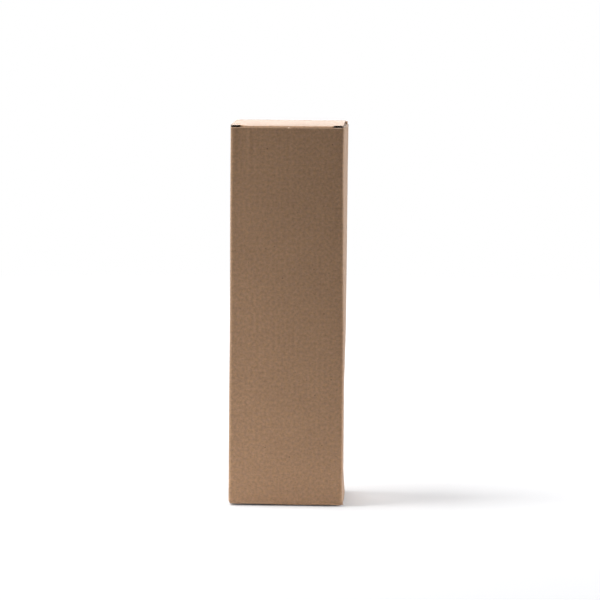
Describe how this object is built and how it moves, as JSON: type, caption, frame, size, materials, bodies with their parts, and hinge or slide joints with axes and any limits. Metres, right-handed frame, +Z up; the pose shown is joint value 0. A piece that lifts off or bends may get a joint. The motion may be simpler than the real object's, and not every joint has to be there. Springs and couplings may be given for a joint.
{
  "type": "closed cardboard box",
  "caption": "Tall slim box of brown fluted board, standing closed, with a slit-locked tuck lid hinged at the back and a tuck lid under the foot.",
  "frame": {"origin": "middle of the foot, on the surface that the box stands on", "axes": "+Z up along the height, -Y to the front, +X to the right seen from the front"},
  "size_m": [0.07, 0.07, 0.235],
  "materials": {
    "body_board": "matte unbleached kraft liner over fine flutes",
    "lid_board": "matte unbleached kraft liner over fine flutes",
    "foot_board": "matte unbleached kraft liner over fine flutes"
  },
  "bodies": {
    "carton": {"carton_body": "body_board"},
    "top_lid": {"top_lid": "lid_board"},
    "bottom_lid": {"bottom_lid": "foot_board"}
  },
  "joints": [
    {"name": "top_lid_fold", "type": "hinge", "parent": "carton", "child": "top_lid", "pos_m": [0, 0.03447, 0.23447], "axis": [-1, 0, 0], "range_deg": [0, 180]},
    {"name": "bottom_lid_fold", "type": "hinge", "parent": "carton", "child": "bottom_lid", "pos_m": [0, -0.03447, 0.00053], "axis": [-1, 0, 0], "range_deg": [0, 180]}
  ]
}
